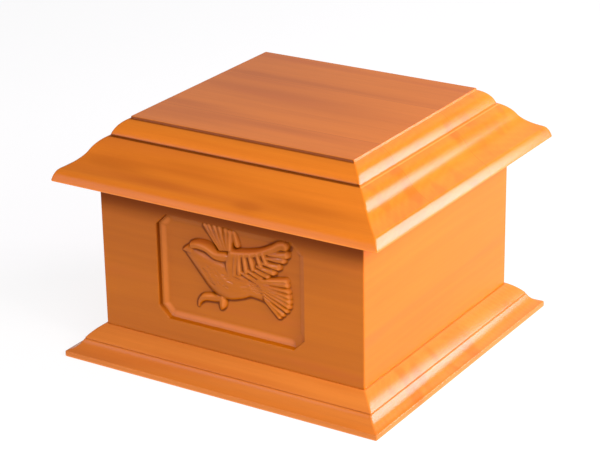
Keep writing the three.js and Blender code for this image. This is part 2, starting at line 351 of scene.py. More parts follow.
    def _rings(self, shader: Shader, place: Wire, across: Wire, up: Wire) -> Wire:
        """Growth rings: a sine of the distance from the pith, over the pitch, bent by soft noise."""
        side = across - self.pith[0] * MM
        depth = up - self.pith[1] * MM
        distance = (side * side + depth * depth) ** 0.5
        bend = self._noise(shader, place, self.RING_BENDS) * self.RING_BEND
        turn = distance * (2 * math.pi / (self.ring_pitch * MM)) + bend
        wave = shader.maths("SINE", turn) * 0.5 + 0.5
        return wave ** self.RING_POWER

    def _streak(self, shader: Shader, streak: Streak, along: Wire, across: Wire) -> Wire:
        """A soft streak: its strength times e to the minus squared distance in its own half sizes."""
        far = (along - streak.along * MM) / (streak.half_length * MM)
        side = (across - streak.across * MM) / (streak.half_width * MM)
        spread = (far * far + side * side) * -1.0
        return shader.maths("POWER", math.e, spread) * streak.strength


# Mouldings


@dataclass(frozen=True)
class Member:
    """One member of a moulding, in mm: its step in and up, how it bends, and the ease of its far arris.

    Its painted shading is the mark that its middle gets besides its corners, painted shade above 0
    and painted light below: first on the sides along the grain, then on the end grain.
    """

    run: float
    rise: float
    swell: float = 0.0
    ease: float = 0.3
    painted_shading: Pair = (0.0, 0.0)

    STRAIGHT_SHARES = (0, 0.1, 0.5, 0.9, 1)

    def line(self, start: np.ndarray, steps: int) -> np.ndarray:
        """The member's curve.

        Formula: a quadratic Bezier, (1 - t)^2 start + 2 t (1 - t) pull + t^2 end, whose pull point
        is half way along each way, less half the swell on the run and plus half of it on the rise.

        Args:
            start: where it starts, [inset, height].
            steps: how many steps a bent member takes.

        Returns:
            An array of [inset, height] rows.
        """
        size = np.array([self.run, self.rise])
        pull = start + size * [0.5 - self.swell / 2, 0.5 + self.swell / 2]
        shares = np.linspace(0, 1, steps + 1) if self.swell else np.array(self.STRAIGHT_SHARES)
        t = shares[:, None]
        return (1 - t) ** 2 * start + 2 * t * (1 - t) * pull + t**2 * (start + size)


def distances(line: np.ndarray) -> np.ndarray:
    """Distance along a polyline to each of its points."""
    return np.concatenate([[0], np.cumsum(np.linalg.norm(np.diff(line, axis=0), axis=1))])


def trimmed(line: np.ndarray, start: float, end: float) -> np.ndarray:
    """A polyline with its first start mm and its last end mm cut off."""
    along = distances(line)
    last = along[-1] - end
    inner = line[(along > start + TINY) & (along < last - TINY)]
    ends = [[np.interp(cut, along, line[:, axis]) for axis in (0, 1)] for cut in (start, last)]
    return np.vstack([ends[0], inner, ends[1]])


class Profile:
    """Section of a moulding, with its arrises eased and marks for stains and painted light and shade."""

    STEPS = 12
    EASE_STEPS = 4
    LEAST_TURN = math.radians(6)
    MOST_EASE = 0.42
    SPREAD = 1.1

    def __init__(self, start: Pair, members: list[Member]) -> None:
        """Carries the members one after another from start.

        Where two members meet at an angle, each gives up the ease, or MOST_EASE of the shorter one if
        that is less, and a quadratic Bezier whose pull point is the old corner joins them. Each corner
        adds its turn, as a share of a right angle, to the mark of stains and shading round it, times e to
        the minus squared distance over SPREAD: concave corners count up and are darkened, and arrises
        count down and are paled. A member adds its painted shading about its middle the same way. The
        marks are rows of (along the grain, end grain).

        Args:
            start: the first [inset, height].
            members: the members in order.
        """
        lines, at = [], np.array(start, float)
        for member in members:
            lines.append(member.line(at, self.STEPS))
            at = lines[-1][-1]
        cuts, turns = [0.0], []
        for member, before, after in zip(members, lines, lines[1:]):
            turn = self._turn(before, after)
            turns.append(turn)
            room = self.MOST_EASE * min(distances(before)[-1], distances(after)[-1])
            cuts.append(min(member.ease, room) if abs(turn) > self.LEAST_TURN else 0.0)
        cuts.append(0.0)
        parts = [trimmed(line, cuts[i], cuts[i + 1]) for i, line in enumerate(lines)]
        rows, marks = [parts[0]], []
        for i, part in enumerate(parts[1:]):
            corner = lines[i + 1][0]
            length = distances(np.vstack(rows))[-1]
            marks.append((length + cuts[i + 1], np.full(2, -turns[i] / (math.pi / 2))))
            if cuts[i + 1] > 0:
                t = np.linspace(0, 1, self.EASE_STEPS + 1)[1:-1, None]
                rows.append((1 - t) ** 2 * rows[-1][-1] + 2 * t * (1 - t) * corner + t**2 * part[0])
                rows.append(part)
            else:
                rows.append(part[1:])
            middle = distances(np.vstack(rows))[-1] - distances(part)[-1] / 2
            marks.append((middle, np.array(members[i + 1].painted_shading)))
        self.points = np.vstack(rows)
        along = distances(self.points)
        self.stain_and_shading = np.zeros((len(along), 2))
        for where, mark in marks:
            self.stain_and_shading += np.exp(-(((along - where) / self.SPREAD) ** 2))[:, None] * mark

    @staticmethod
    def _turn(before: np.ndarray, after: np.ndarray) -> float:
        """Angle turned from one line to the next, above 0 at an arris and below 0 in a concave corner."""
        first = (before[-1] - before[-2]) * [-1, 1]
        second = (after[1] - after[0]) * [-1, 1]
        cross = first[0] * second[1] - first[1] * second[0]
        return math.atan2(cross, float(first @ second))


# Meshes


def put_mesh(name: str, points: np.ndarray, faces: list[np.ndarray], stain_and_shading: np.ndarray) -> bpy.types.Object:
    """Makes an object of arrays.

    Args:
        name: the piece's name.
        points: its corners in mm, one row each.
        faces: arrays of faces, each with one row of corner numbers per face.
        stain_and_shading: the mark of each point for stains and painted light and shade.

    Returns:
        The object, linked to the scene, smooth but for its sharp arrises.
    """
    mesh = bpy.data.meshes.new(name)
    corners = np.concatenate([part.ravel() for part in faces]).astype(np.int32)
    counts = np.concatenate([np.full(len(part), part.shape[1]) for part in faces]).astype(np.int32)
    mesh.vertices.add(len(points))
    mesh.vertices.foreach_set("co", (points * MM).astype(np.float32).ravel())
    mesh.loops.add(len(corners))
    mesh.loops.foreach_set("vertex_index", corners)
    mesh.polygons.add(len(counts))
    mesh.polygons.foreach_set("loop_start", np.concatenate([[0], np.cumsum(counts)[:-1]]).astype(np.int32))
    mesh.polygons.foreach_set("loop_total", counts)
    mesh.polygons.foreach_set("use_smooth", np.ones(len(counts), bool))
    mesh.update(calc_edges=True)
    mesh.attributes.new(STAIN_AND_SHADING, "FLOAT", "POINT").data.foreach_set("value", stain_and_shading.astype(np.float32))
    mesh.set_sharp_from_angle(angle=SHARP_ANGLE)
    return put_object(name, mesh)


def put_object(name: str, data: bpy.types.ID) -> bpy.types.Object:
    """Makes an object of a mesh, light or camera and links it to the scene."""
    made = bpy.data.objects.new(name, data)
    bpy.context.scene.collection.objects.link(made)
    return made


def ring_faces(rows: int, columns: int, first: int = 0) -> np.ndarray:
    """Four-sided faces between rows of closed rings, as corner numbers from first on."""
    row, column = np.meshgrid(np.arange(rows - 1), np.arange(columns), indexing="ij")
    here = first + row * columns + column
    beside = first + row * columns + (column + 1) % columns
    return np.stack([here, beside, beside + columns, here + columns], axis=-1).reshape(-1, 4)


def closed_rings(rows: int, columns: int) -> list[np.ndarray]:
    """Faces between rows of closed rings, with one over the first ring and one over the last."""
    first = np.arange(columns)
    return [ring_faces(rows, columns), first[::-1][None], first[None] + (rows - 1) * columns]


def dress(piece: bpy.types.Object, node: str, finish: bpy.types.Material) -> None:
    """Gives a piece its finish and its place in the frame."""
    piece.data.materials.append(finish)
    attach(piece, "root")
    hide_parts(node)
    LOG.info("%s: %d faces", piece.name, len(piece.data.polygons))


@dataclass
class MouldedSlab:
    """A slab with one moulding worked round all four edges, its corners just softened.

    Beside each corner's arc stand points at the support's distance, which keep the long faces flat.
    """

    name: str
    node: str
    slot: str
    members: list[Member]
    start_inset: float
    corner_radius: float = 0.8
    corner_steps: int = 4
    support: float = 1.2

    def build(self, finish: bpy.types.Material) -> bpy.types.Object:
        """Carries the profile round a rectangle.

        Formula: a point of ring i and corner arc angle a lies at the arc's middle, which is the half
        size less the inset and the radius each way, plus the radius times (cos a, sin a), at the
        profile's height. A ring's mark goes from the one along the grain to the one for end grain by
        (cos a)^2.

        Args:
            finish: the wood.

        Returns:
            The piece.
        """
        low, high = (np.array(corner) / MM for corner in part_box(self.node))
        half = (high - low)[:2] / 2
        profile = Profile((self.start_inset, low[2]), self.members)
        sign, offset, end_grain = self._corner_points()
        inset, height = profile.points[:, 0], profile.points[:, 1]
        middle = half[None, None, :] - inset[:, None, None] - self.corner_radius
        flat = sign[None] * middle + offset[None]
        tall = np.broadcast_to(height[:, None, None], (*flat.shape[:2], 1))
        points = np.concatenate([flat, tall], axis=2).reshape(-1, 3)
        along_grain, across_grain = profile.stain_and_shading[:, :1], profile.stain_and_shading[:, 1:]
        stain_and_shading = along_grain + (across_grain - along_grain) * end_grain
        piece = put_mesh(self.name, points, closed_rings(*flat.shape[:2]), stain_and_shading.ravel())
        dress(piece, self.node, finish)
        return piece

    def _corner_points(self) -> tuple[np.ndarray, np.ndarray, np.ndarray]:
        """Signs of the corner, offset from its arc's middle and share of end grain, for a ring's points."""
        signs, offsets, shares = [], [], []
        for sx, sy, turn in [(1, -1, -90), (1, 1, 0), (-1, 1, 90), (-1, -1, 180)]:
            angle = np.radians(turn + np.linspace(0, 90, self.corner_steps + 1))
            arc = self.corner_radius * np.stack([np.cos(angle), np.sin(angle)], axis=1)
            lead = np.array([-np.sin(angle[0]), np.cos(angle[0])]) * self.support
            trail = np.array([-np.sin(angle[-1]), np.cos(angle[-1])]) * self.support
            offsets.append(np.vstack([arc[0] - lead, arc, arc[-1] + trail]))
            signs.append(np.tile([sx, sy], (len(arc) + 2, 1)))
            shares.append(np.cos(angle[[0, *range(len(angle)), -1]]) ** 2)
        return np.vstack(signs), np.vstack(offsets), np.concatenate(shares)


LID_START = 41.25
LID_MEMBERS = [
    # Underside, with the groove that the walls stand in
    Member(-6, 0),
    Member(0, 4),
    Member(-12.8, 0),
    Member(0, -4),
    Member(-22.15, 0, ease=0.4),
    # Lower tier: arris, nose, sweep and round
    Member(-0.3, 0.9, -0.4, ease=0.5),
    Member(3.9, 7.4, 0.35, ease=1.2),
    Member(13.8, 9.9, -0.25, ease=1.4),
    Member(10.3, 10, 0.3, ease=0.35),
    # Ledge and quirk, with painted shade on the long sides and painted light on the ends
    Member(1.1, 0, ease=0.12, painted_shading=(1.3, -2.6)),
    Member(0.6, 0.4, ease=0.1),
    Member(-0.6, 0.4, ease=0.15, painted_shading=(0.9, 0.3)),
    # Upper tier: round, ledge, step and the flat field, with painted light and shade on ledge and step
    Member(9.4, 10, 0.42, ease=0.3),
    Member(0.5, 0.1, ease=0.15, painted_shading=(0.1, -1.0)),
    Member(0.2, 1.2, ease=0.3, painted_shading=(0.9, 0.1)),
    Member(0.4, 0.3, 0.6, ease=0.2),
    Member(3, 0),
]
BASE_START = 15.0
BASE_MEMBERS = [
    # Underside and lip
    Member(-14.5, 0, ease=0.2),
    Member(-0.5, 0.5, ease=0.25),
    Member(0, 3.2, ease=0.3),
    # Cove and quirk
    Member(1.1, 0.7, 0.7, ease=0.4),
    Member(8.4, 7.1, -0.45, ease=0.35),
    Member(0.9, 0.5, ease=0.12),
    Member(-0.45, 0.5, ease=0.2),
    # Round and top
    Member(10.4, 9, 0.18, ease=0.3),
    Member(3, 0),
]


# Walls


@dataclass
class Wall:
    """A plain wall board with mitred ends, drawn as the front one and turned about the box's middle.

    The leads are how far in from an edge a ring of points stands that keeps the face flat, and pairs
    are for the width and the height.
    """

    name: str
    node: str
    turn: int
    arris: float = 0.9
    arris_steps: int = 4
    arris_lead: Pair = (0.2, 0.1)
    arris_wear_and_highlight: float = 0.5
    edge_ease: float = 0.35
    edge_steps: int = 8
    face_lead: float = 1.5
    back_ease: Pair = (0.6, 0.3)
    back_lead: float = 3.0
    cad_mitre_gap: float = 0.15 * math.sqrt(2)
    mitre_gap: float = 0.02
    foot_gap: float = 0.03

    def __post_init__(self) -> None:
        """Takes the board's sizes from its node, in mm: span, thickness, face, foot and head."""
        low, high = (np.array(corner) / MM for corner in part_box(self.node))
        base_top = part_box("base")[1].z / MM
        side = 0 if self.turn % 2 == 0 else 1
        self.thickness = (high - low)[1 - side]
        self.out = max(abs(low[1 - side]), abs(high[1 - side]))
        mitred = max(abs(low[side]), abs(high[side]))
        self.half_span = mitred + self.cad_mitre_gap - self.mitre_gap
        self.foot, self.head = base_top + self.foot_gap, high[2]

    def rectangle(self, reach: Pair, corner: tuple[np.ndarray, np.ndarray]) -> np.ndarray:
        """Points of a rectangle's edge, from shares of its half width and half height."""
        middle = (self.foot + self.head) / 2
        return np.stack([corner[0] * reach[0], middle + corner[1] * reach[1]], axis=1)

    def edge_rings(self, shares: tuple[np.ndarray, np.ndarray]) -> tuple[np.ndarray, np.ndarray]:
        """Rings from the face's edge, over the softened arris, down the mitres and round the back.

        Formula: at arris angle a the ring stands radius times sin a further out and radius times
        (1 - cos a) behind the face, up to 45 degrees, where the mitre starts.

        Args:
            shares: where each point of a ring lies on a rectangle, in half widths and half heights.

        Returns:
            The rings' points, an array of (ring, point, 3), and their marks of stains and painted shading.
        """
        half_tall = (self.head - self.foot) / 2
        face, inner = self.half_span - self.arris, self.half_span - self.thickness
        lead, back = self.face_lead, self.back_lead
        plan = [(face - lead, half_tall - lead, 0.0, 0.0)]
        plan.append((face - self.arris_lead[0], half_tall - self.edge_ease - self.arris_lead[1], 0.0, 0.0))
        for angle in np.radians(np.linspace(0, 45, self.arris_steps + 1)):
            reach = self.half_span - self.arris * (1 - math.sin(angle))
            tall = half_tall - self.edge_ease * (1 - math.sin(2 * angle))
            # The arris is paled, as wear and painted highlight.
            wear_and_highlight = -self.arris_wear_and_highlight * math.sin(2 * angle)
            plan.append((reach, tall, self.arris * (1 - math.cos(angle)), wear_and_highlight))
        plan.append((inner + self.back_ease[0], half_tall, self.thickness - self.back_ease[0], 0.0))
        plan.append((inner, half_tall - self.back_ease[1], self.thickness, 0.0))
        plan.append((inner - back, half_tall - back, self.thickness, 0.0))
        rings, marks = [], []
        for reach, tall, depth, mark in plan:
            flat = self.rectangle((reach, tall), shares)
            rings.append(np.stack([flat[:, 0], np.full(len(flat), depth - self.out), flat[:, 1]], axis=1))
            marks.append(np.full(len(flat), mark))
        return np.array(rings), np.array(marks)

    def turned(self, points: np.ndarray) -> np.ndarray:
        """Points turned about Z by the board's quarter turns."""
        cos, sin = [(1, 0), (0, 1), (-1, 0), (0, -1)][self.turn]
        x, y, z = points.T
        return np.stack([cos * x - sin * y, sin * x + cos * y, z], axis=1)

    def build(self, finish: bpy.types.Material) -> bpy.types.Object:
        """Builds the plain board: the rings closed by one face in front and one behind.

        Args:
            finish: the wood.

        Returns:
            The piece.
        """
        side = np.linspace(-1, 1, self.edge_steps + 1)
        low, high = np.full(self.edge_steps, -1.0), np.full(self.edge_steps, 1.0)
        across = np.concatenate([side[:-1], high, side[:0:-1], low])
        up = np.concatenate([low, side[:-1], high, side[:0:-1]])
        rings, marks = self.edge_rings((across, up))
        faces = [part[:, ::-1] for part in closed_rings(*rings.shape[:2])]
        piece = put_mesh(self.name, self.turned(rings.reshape(-1, 3)), faces, marks.ravel())
        dress(piece, self.node, finish)
        return piece


# Carving


@dataclass(frozen=True)
class Stroke:
    """A rounded ridge along a smooth line.

    Its stations are (across, up, half width, height): the first three in hundredths of the bird's
    length from the field's middle, the height as a share of the relief. edge is the share of the
    height left at its sides, and lean tips it like a lapped feather.
    """

    stations: tuple[tuple[float, float, float, float], ...]
    edge: float
    lean: float = 0.0


@dataclass(frozen=True)
class FeatherRow:
    """A row of feathers whose roots and tips each follow a smooth line.

    widths and heights are those of a feather's root and tip. Its middle stands MIDDLE of the way
    along, takes WIDE of the way from one width to the other, and rises ARCH over the mean height.
    """

    count: int
    roots: tuple[Pair, ...]
    tips: tuple[Pair, ...]
    widths: Pair
    heights: Pair
    lean: float
    edge: float = 0.34
    MIDDLE = 0.55
    WIDE = 0.65
    ARCH = 0.03

    def strokes(self) -> list[Stroke]:
        """The feathers, spread evenly from the first end of the two lines to the other."""
        shares = np.linspace(0, 1, self.count)
        roots, tips = spline(np.array(self.roots), shares), spline(np.array(self.tips), shares)
        width = self.widths[0] * (1 - self.WIDE) + self.widths[1] * self.WIDE
        height = sum(self.heights) / 2 + self.ARCH
        made = []
        for root, tip in zip(roots, tips):
            middle = root * (1 - self.MIDDLE) + tip * self.MIDDLE
            stations = (
                (*root, self.widths[0], self.heights[0]),
                (*middle, width, height),
                (*tip, self.widths[1], self.heights[1]),
            )
            made.append(Stroke(stations, self.edge, self.lean))
        return made


def spline(points: np.ndarray, shares: np.ndarray) -> np.ndarray:
    """A smooth line through points.

    Formula: between two points a Catmull-Rom cubic, whose slope at each point is half the step from
    the point before it to the point after it. The end points count twice.

    Args:
        points: the points in order, one row each.
        shares: where on the line to look, from 0 to 1.

    Returns:
        The line's points at those shares.
    """
    spans = len(points) - 1
    at = np.clip(shares, 0, 1) * spans
    index = np.minimum(at.astype(int), spans - 1)
    t = (at - index)[:, None]
    padded = np.vstack([points[:1], points, points[-1:]])
    before, start, end, after = (padded[index + k] for k in range(4))
    slope_start, slope_end = (end - before) / 2, (after - start) / 2
    cube = (2 * start - 2 * end + slope_start + slope_end) * t**3
    square = (-3 * start + 3 * end - 2 * slope_start - slope_end) * t**2
    return cube + square + slope_start * t + start


DOVE = [
    # Breast, belly and rump
    Stroke(
        (
            (-37, 15.4, 4.8, 0.62), (-29, 11.5, 8, 0.85), (-18, 5.2, 12.2, 1), (-7, -1.2, 15.2, 1),
            (4, -3.4, 11.4, 0.86), (15, -3, 7.8, 0.72), (26, -3.2, 8.2, 0.58), (33, -3.4, 9.6, 0.5),
        ),
        0.36,
    ),
    # Head and neck
    Stroke(
        (
            (-34.6, 21.4, 3.2, 0.85), (-29, 22.8, 3.8, 1), (-21, 22, 4.2, 1.06), (-13, 18, 4.6, 1.06),
            (-4, 18, 4.8, 0.95),
        ),
        0.3,
    ),
    # Beak
    Stroke(((-44.4, 15.8, 0.6, 0.4), (-41, 16.7, 2.3, 0.6), (-36.5, 17.6, 4.2, 0.75)), 0.3),
    # Shoulder
    Stroke(((2.4, 22, 3.4, 0.98), (0, 14, 3.8, 1.04), (0.6, 6, 4, 0.95)), 0.7),
    # Leading edge of the near wing
    Stroke(
        (
            (1, 21.8, 3.2, 0.94), (9, 23.2, 3, 0.96), (18, 25, 2.9, 0.96), (28, 28, 2.9, 0.94),
            (37, 32.4, 3, 0.9), (44, 36.6, 3.4, 0.88), (47.8, 37.4, 3.9, 0.84),
        ),
        0.55,
    ),
    # Beds of the near wing's and the tail's feathers
    Stroke(((3, 13, 9, 0.68), (16, 18, 8.4, 0.66), (30, 24, 6.6, 0.56), (42, 31.4, 4.4, 0.44)), 0.9),
    Stroke(((28, -2.4, 6.6, 0.36), (36, -3.6, 8.6, 0.32), (41, -4.4, 10, 0.3)), 0.9),
    # Leading edge of the far wing
    Stroke(((5, 29.5, 2.6, 0.42), (2.4, 38.4, 2, 0.32)), 0.6),
    # Leg and front toe
    Stroke(
        (
            (-9, -17.4, 3.8, 0.7), (-18, -18.6, 3.5, 0.62), (-25.8, -20.2, 3, 0.56), (-30.4, -24.2, 2, 0.44),
            (-32.2, -29, 0.7, 0.28),
        ),
        0.3,
    ),
    # Hind toe
    Stroke(((-8.8, -17, 3.4, 0.74), (-9.4, -22.6, 3, 0.66), (-10.8, -26.6, 1.2, 0.4)), 0.3),
]
FEATHERS = [
    # Flight feathers of the near wing
    FeatherRow(
        9, ((-1, 4.4), (14, 11.5), (26, 18.5), (35, 29.4)),
        ((9, 3), (24.4, 7.4), (38.4, 16.4), (48.8, 31)),
        (2, 3.5), (0.9, 0.66), -0.2,
    ),
    # Its coverts
    FeatherRow(
        6, ((5.4, 22), (15, 24), (29.5, 28)),
        ((3.4, 6), (17, 12.4), (32, 21.4)),
        (2.7, 2.7), (1.0, 0.96), 0.14, 0.5,
    ),
    # Tail
    FeatherRow(
        9, ((20, 3.8), (27, -1), (30, -10)),
        ((48.6, 9), (50.4, -2), (49.8, -12.4), (41.8, -21)),
        (1.4, 2.35), (0.64, 0.6), 0.2,
    ),
    # Far wing
    FeatherRow(
        6, ((-9.6, 23.6), (-5, 24.4), (-0.4, 25)),
        ((-23.2, 40), (-12.6, 40.6), (-1, 38.6)),
        (2.1, 2.6), (0.78, 0.5), -0.2,
    ),
]


@dataclass(frozen=True)
class Cuts:
    """A row of short knife cuts, even steps apart, in hundredths of the bird's length.

    start and end are the first cut's two ends.
    """

    start: Pair
    end: Pair
    step: Pair
    count: int


PLUMAGE = [
    Cuts((-24.5, 5.4), (-19.8, 3.2), (1.5, -2.3), 5),
    Cuts((-20.6, 8.2), (-15.4, 5.6), (1.6, -2.4), 5),
    Cuts((-15.8, 7.6), (-10.8, 5.2), (1.8, -2.2), 4),
    Cuts((-11.5, 0.6), (-6.6, -0.8), (2.2, -2.4), 3),
    Cuts((-7.2, 4.4), (-2.2, 3.2), (2.4, -2.2), 3),
    Cuts((9.5, -2.2), (15.5, -1.4), (1.4, -2.6), 2),
    Cuts((16.8, 0.9), (23.8, -0.4), (1.6, -2.4), 3),
]


@dataclass
class CarvedFront(Wall):
    """The front wall, with its sunk eight-sided field and the dove.

    The shift and blur of the painted shading count steps of the grid, and the fields of stains, shade,
    highlight and limits are marks of stains and painted light and shade.
    """

    half_width: float = 58.1
    half_height: float = 38.4
    corner: float = 8.5
    middle_height: float = 53.05
    depth: float = 5.5
    rim: list[Member] = field(default_factory=lambda: [Member(1, 0.8, -0.8), Member(0.3, 2.9)])
    rim_lead: float = 0.8
    cove: Member = Member(5.2, 1.8, 0.15)
    cove_steps: int = 40
    pitch: float = 0.36
    corner_rows: int = 23

    bird_length: float = 86.5
    relief: float = 4.8
    crown: Pair = (2.4, 0.6)
    cliff: float = 3.4
    line_steps: int = 8
    margin: float = 2.0
    nowhere: float = -9.0
    cut_depth: float = 0.42
    cut_width: float = 0.5
    cut_from: float = 1.0

    shade_shift: int = 2
    shade_blur: int = 14
    low_relief: float = 1.2
    full_stain_and_shade: Pair = (0.5, 0.6)
    wall_stain_and_shade: float = 0.75
    low_wall_stain_and_shade: float = 0.1
    wall_heights: Pair = (3.0, 2.0)
    foot_spread: float = 0.8
    cove_highlight: float = 0.5
    cove_middle: float = 2.6
    cove_spread: float = 2.4
    cove_top: float = 3.0
    limits: Pair = (-1.2, 1.5)

    def __post_init__(self) -> None:
        """Adds the field's middle, its rim's section and the size of its grid to the board's sizes."""
        super().__post_init__()
        self.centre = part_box("base")[1].z / MM + self.middle_height
        self.section = Profile((0, 0), self.rim)
        self.edge = self.section.points[-1][0]
        self.columns = round(2 * (self.half_width - self.edge) / self.pitch)
        self.rows = 2 * self.corner_rows + round(2 * (self.half_height - self.corner) / self.pitch)

    def octagon(self, inset: float, across: np.ndarray, row: np.ndarray) -> tuple[np.ndarray, np.ndarray]:
        """Places on the field's eight-sided shape, set in from its edge.

        Formula: rows climb the lower corner cuts, the straight sides and the upper corner cuts at
        even steps in each. A row's half width is the full one less what the cut takes, and across,
        from -1 to 1, is a share of it. A corner cut shortens by (2 - root 2) of the inset.

        Args:
            inset: how far in from the field's edge.
            across: share of the row's half width.
            row: number of the row.

        Returns:
            Distances across and up from the field's middle.
        """
        wide, tall = self.half_width - inset, self.half_height - inset
        cut = self.corner - inset * (2 - math.sqrt(2))
        stops = np.array([0, self.corner_rows, self.rows - self.corner_rows, self.rows])
        up = np.interp(row, stops, [-tall, cut - tall, tall - cut, tall])
        half = np.interp(row, stops, [wide - cut, wide, wide, wide - cut])
        return across * half, up

    def ground(self, x: np.ndarray, z: np.ndarray) -> np.ndarray:
        """Height of the field's floor and cove above the floor, by the distance from its edge."""
        start = np.array([sum(m.run for m in self.rim), sum(m.rise for m in self.rim)])
        line = self.cove.line(start, self.cove_steps)
        return self.depth - np.interp(self.inset(x, z), line[:, 0], line[:, 1])

    def inset(self, x: np.ndarray, z: np.ndarray) -> np.ndarray:
        """Distance in from the nearest of the field's eight sides."""
        gaps = [self.half_width - abs(x), self.half_height - abs(z)]
        slant = self.half_width + self.half_height - self.corner - abs(x) - abs(z)
        return np.minimum(np.minimum(*gaps), slant / math.sqrt(2))

    def rim_stain_and_shade(self, z: np.ndarray) -> np.ndarray:
        """Stains and painted shade on the rim by height: thin along its lit foot, thick above the cuts."""
        foot, (low, high) = -self.half_height, self.wall_heights
        return np.interp(z, [foot + low, foot + self.corner + high], [self.low_wall_stain_and_shade, self.wall_stain_and_shade])

    def stroke_height(self, stroke: Stroke, x: np.ndarray, z: np.ndarray) -> np.ndarray:
        """Height of one stroke.

        Formula: with q the distance from the line over the half width there, the height is
        relief x h x (edge + (1 - edge) (1 - q^2.4)^0.6 + lean x side q), and past q = 1 it falls away
        by the cliff times the distance. The two powers are the crown's.

        Args:
            stroke: the stroke.
            x: distances across from the field's middle.
            z: distances up from it.

        Returns:
            The height above the floor at each place, far below it where the stroke isn't near.
        """
        stations = np.array(stroke.stations)
        unit = self.bird_length / 100
        shares = np.linspace(0, 1, (len(stations) - 1) * self.line_steps + 1)
        line = spline(stations, shares) * [unit, unit, unit, 1]
        reach = line[:, 2].max() + self.margin
        near = (x > line[:, 0].min() - reach) & (x < line[:, 0].max() + reach)
        near &= (z > line[:, 1].min() - reach) & (z < line[:, 1].max() + reach)
        spot = np.stack([x[near], z[near]], axis=1)[:, None, :]
        start, step = line[None, :-1], np.diff(line, axis=0)[None]
        along = ((spot - start[..., :2]) * step[..., :2]).sum(-1) / (step[..., :2] ** 2).sum(-1)
        along = np.clip(along, 0, 1)
        foot = start + along[..., None] * step
        gap = spot - foot[..., :2]
        share = np.hypot(gap[..., 0], gap[..., 1]) / foot[..., 2]
        best = share.argmin(axis=1)
        pick = np.arange(len(best)), best
        q, width, tall = share[pick], foot[pick][:, 2], foot[pick][:, 3]
        flat, off = step[0, best], gap[pick]
        side = (flat[:, 0] * off[:, 1] - flat[:, 1] * off[:, 0]) / np.hypot(flat[:, 0], flat[:, 1])
        side = np.clip(side / width, -1, 1)
        power, root = self.crown
        crown = stroke.edge + (1 - stroke.edge) * (1 - np.minimum(q, 1) ** power) ** root
        height = self.relief * tall * (crown + stroke.lean * side)
        height -= self.cliff * np.maximum(q - 1, 0) * width
        found = np.full(x.shape, self.nowhere)
        found[near] = height
        return found

    def cut_height(self, x: np.ndarray, z: np.ndarray) -> np.ndarray:
        """Depth of the knife cuts in the plumage.

        Formula: for each cut the depth times e to the minus squared distance from it over its width,
        and the deepest of them all.

        Args:
            x: distances across from the field's middle.
            z: distances up from it.

        Returns:
            The depth at each place.
        """
        deepest = np.zeros(x.shape)
        unit = self.bird_length / 100
        for row in PLUMAGE:
            for number in range(row.count):
                start = (np.array(row.start) + np.array(row.step) * number) * unit
                along = (np.array(row.end) - np.array(row.start)) * unit
                share = ((x - start[0]) * along[0] + (z - start[1]) * along[1]) / (along @ along)
                share = np.clip(share, 0, 1)
                far = np.hypot(x - start[0] - share * along[0], z - start[1] - share * along[1])
                deepest = np.maximum(deepest, self.cut_depth * np.exp(-((far / self.cut_width) ** 2)))
        return deepest

    def carved_height(self, x: np.ndarray, z: np.ndarray) -> np.ndarray:
        """Height of the carving above the field's floor.

        Formula: the greatest of the ground and the strokes, less the knife cuts where the bird stands
        up, softened once by a quarter, half, quarter mean each way.

        Args:
            x: distances across from the field's middle.
            z: distances up from it.

        Returns:
            The height at each place.
        """
        height = self.ground(x, z)
        for stroke in DOVE + [feather for group in FEATHERS for feather in group.strokes()]:
            height = np.maximum(height, self.stroke_height(stroke, x, z))
        return softened(height - self.cut_height(x, z) * (height > self.cut_from), 1)

    def stain_and_shade_marks(self, height: np.ndarray, x: np.ndarray, z: np.ndarray) -> np.ndarray:
        """Marks of stains and painted light and shade in the carving.

        Formula: the mean height about a point a little way up and to the right, less the point's own,
        over the step that takes the full mark. This paints shade below and left of each raised part and
        light above and right of it, as if lit from the upper right, and darkens the grooves. A painted
        highlight comes off by a bell about the cove's middle, and the rim's painted shade and stains run
        out by a bell at its foot.

        Args:
            height: the carving's height.
            x: distances across from the field's middle.
            z: distances up from it.

        Returns:
            The mark at each place.
        """
        # Painted shade below and left of raised parts and painted light above and right, as if lit from the
        # upper right.
        beside = np.roll(softened(height, self.shade_blur), (-self.shade_shift, -self.shade_shift), (0, 1))
        stain_and_shading = (beside - height) / np.where(height < self.low_relief, *self.full_stain_and_shade)
        inset = self.inset(x, z) - self.edge
        # Painted highlight along the middle of the cove.
        wear_and_highlight = self.cove_highlight * np.exp(-(((inset - self.cove_middle) / self.cove_spread) ** 2))
        # Painted shade and stains down the rim's wall.
        foot = self.rim_stain_and_shade(z) * np.exp(-((inset / self.foot_spread) ** 2))
        return np.clip(stain_and_shading - wear_and_highlight * (height < self.cove_top) + foot, *self.limits)

    def placed(self, x: np.ndarray, depth: np.ndarray | float, z: np.ndarray) -> np.ndarray:
        """Points that far across and up from the field's middle and that deep in the board."""
        out = np.broadcast_to(depth - self.out, x.shape)
        return np.stack([x, out, z + self.centre], axis=-1).reshape(-1, 3)

    def build(self, finish: bpy.types.Material) -> bpy.types.Object:
        """Builds the board: the carved field as a grid, then rings out over the rim to the edges.

        Args:
            finish: the wood.

        Returns:
            The piece.
        """
        across, row = np.meshgrid(np.linspace(-1, 1, self.columns + 1), np.arange(self.rows + 1))
        x, z = self.octagon(self.edge, across, row)
        height = self.carved_height(x, z)
        points = [self.placed(x, self.depth - height, z)]
        marks = [self.stain_and_shade_marks(height, x, z).ravel()]

        border = grid_edge(self.rows + 1, self.columns + 1)
        across, row = across.ravel()[border], row.ravel()[border].astype(float)
        for (inset, depth), mark in zip(self.section.points[::-1][1:], self.section.stain_and_shading[::-1, 0][1:]):
            x, z = self.octagon(inset, across, row)
            points.append(self.placed(x, depth, z))
